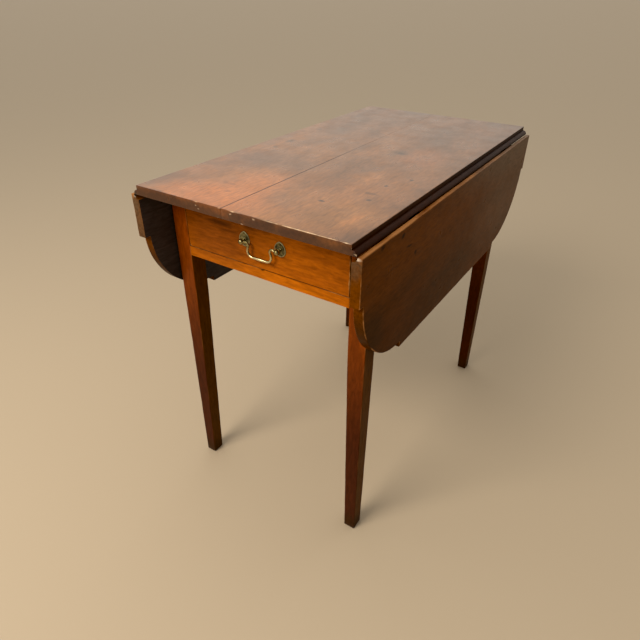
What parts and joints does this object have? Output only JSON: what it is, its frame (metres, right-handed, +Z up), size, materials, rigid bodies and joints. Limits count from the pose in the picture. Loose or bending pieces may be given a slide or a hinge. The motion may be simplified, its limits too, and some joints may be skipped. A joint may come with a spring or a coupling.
{
  "type": "pembroke table",
  "caption": "Small drop-leaf occasional table with stepped round-cornered leaves on rule joints, tapered square legs, and an end drawer with a brass bail handle.",
  "frame": {"origin": "on the floor under the middle of the closed table", "axes": "+Z up, -Y towards the drawer end, +X to the right of someone facing the drawer"},
  "size_m": [0.484, 0.865, 0.72],
  "materials": {
    "varnished_cherry_top": "worn satin varnish on red-brown cherry",
    "varnished_cherry_frame": "amber varnish on cherry",
    "bare_pine": "bare pine darkened by age",
    "old_iron": "dark oxidised wrought iron",
    "aged_brass": "aged brass, rubbed bright where hands touch it"
  },
  "bodies": {
    "table_frame": {"back_rail": "varnished_cherry_frame", "drawer_kicker_left": "bare_pine", "drawer_kicker_right": "bare_pine", "drawer_rail": "varnished_cherry_frame", "drawer_runner_left": "bare_pine", "drawer_runner_right": "bare_pine", "drawer_stop_left": "bare_pine", "drawer_stop_right": "bare_pine", "fly_pin_left": "old_iron", "fly_pin_right": "old_iron", "fly_rail_back_left": "bare_pine", "fly_rail_back_right": "bare_pine", "fly_rail_front_left": "bare_pine", "fly_rail_front_right": "bare_pine", "fly_rail_screws": "old_iron", "glue_blocks": "bare_pine", "hinge_pin_back_left": "old_iron", "hinge_pin_back_right": "old_iron", "hinge_pin_front_left": "old_iron", "hinge_pin_front_right": "old_iron", "hinge_screws_top": "old_iron", "hinge_top_plate_back_left": "old_iron", "hinge_top_plate_back_right": "old_iron", "hinge_top_plate_front_left": "old_iron", "hinge_top_plate_front_right": "old_iron", "leg_back_left": "varnished_cherry_frame", "leg_back_right": "varnished_cherry_frame", "leg_front_left": "varnished_cherry_frame", "leg_front_right": "varnished_cherry_frame", "side_rail_left": "bare_pine", "side_rail_right": "bare_pine", "top_board_left": "varnished_cherry_top", "top_board_right": "varnished_cherry_top", "top_screws": "old_iron", "upper_rail": "bare_pine"},
    "left_leaf": {"hinge_leaf_plate_back_left": "old_iron", "hinge_leaf_plate_front_left": "old_iron", "hinge_screws_leaf_left": "old_iron", "leaf_left": "varnished_cherry_top"},
    "right_leaf": {"hinge_leaf_plate_back_right": "old_iron", "hinge_leaf_plate_front_right": "old_iron", "hinge_screws_leaf_right": "old_iron", "leaf_right": "varnished_cherry_top"},
    "drawer": {"drawer_back": "bare_pine", "drawer_bottom": "bare_pine", "drawer_front": "varnished_cherry_frame", "drawer_side_left": "bare_pine", "drawer_side_right": "bare_pine", "handle_nut_left": "aged_brass", "handle_nut_right": "aged_brass", "handle_post_left": "aged_brass", "handle_post_right": "aged_brass", "handle_rosette_left": "aged_brass", "handle_rosette_right": "aged_brass"},
    "bail": {"handle_bail": "aged_brass"},
    "left_fly": {"fly_bracket_left": "bare_pine"},
    "right_fly": {"fly_bracket_right": "bare_pine"}
  },
  "joints": [
    {"name": "right_leaf_hinge", "type": "hinge", "parent": "table_frame", "child": "right_leaf", "pos_m": [0.224, 0, 0.702], "axis": [0, -1, 0], "range_deg": [0, 90]},
    {"name": "left_leaf_hinge", "type": "hinge", "parent": "table_frame", "child": "left_leaf", "pos_m": [-0.224, 0, 0.702], "axis": [0, 1, 0], "range_deg": [0, 90]},
    {"name": "drawer_slide", "type": "slide", "parent": "table_frame", "child": "drawer", "axis": [0, -1, 0], "range_m": [0, 0.36]},
    {"name": "bail_swing", "type": "hinge", "parent": "drawer", "child": "bail", "pos_m": [0.002, -0.3715, 0.635], "axis": [-1, 0, 0], "range_deg": [-12, 180]},
    {"name": "right_fly_swing", "type": "hinge", "parent": "table_frame", "child": "right_fly", "pos_m": [0.208, -0.11, 0.6335], "axis": [0, 0, -1], "range_deg": [0, 1.8]},
    {"name": "left_fly_swing", "type": "hinge", "parent": "table_frame", "child": "left_fly", "pos_m": [-0.208, -0.11, 0.6335], "axis": [0, 0, 1], "range_deg": [0, 1.8]}
  ]
}
